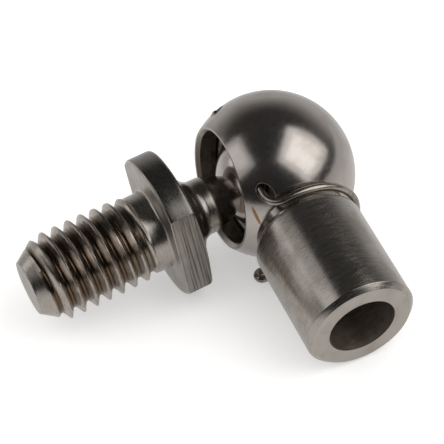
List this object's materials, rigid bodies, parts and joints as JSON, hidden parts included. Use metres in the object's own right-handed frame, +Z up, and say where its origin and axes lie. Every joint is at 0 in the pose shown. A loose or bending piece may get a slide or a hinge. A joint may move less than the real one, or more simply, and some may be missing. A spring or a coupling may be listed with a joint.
{
  "type": "angle ball joint",
  "caption": "Steel angle ball joint: a tapped socket holds the ball of a threaded stud and a wire clip locks it in, for joining rods and gas springs.",
  "frame": {"origin": "on the table at the bottom centre of the whole joint's box, as it lies at rest on its head, its collar and its shank's end", "axes": "+Z up from the table, +X along the shank's level direction, out of its tapped end, and -Y roughly along the stud from its ball to its tip"},
  "size_m": [0.0264, 0.0316, 0.015],
  "materials": {
    "polished_steel": "barrel-polished stainless steel",
    "turned_steel": "fine-turned stainless steel with rolled thread and milled flats",
    "spring_wire": "drawn stainless spring wire",
    "ring_wire": "drawn spring wire, lightly greased"
  },
  "bodies": {
    "socket": {"ball_socket": "polished_steel", "safety_clip": "spring_wire"},
    "ring": {"snap_ring": "ring_wire"},
    "stud": {"ball_stud": "turned_steel"}
  },
  "joints": [
    {"name": "ring_turn", "type": "hinge", "parent": "socket", "child": "ring", "pos_m": [-0.00573, 0.00831, 0.0075], "axis": [0.0135, -0.9954, 0.0949], "continuous": true},
    {"name": "stud_tilt", "type": "hinge", "parent": "ring", "child": "stud", "pos_m": [-0.00573, 0.00831, 0.0075], "axis": [0.9787, 0.0326, 0.2026], "range_deg": [-32.9, 11.1]}
  ]
}
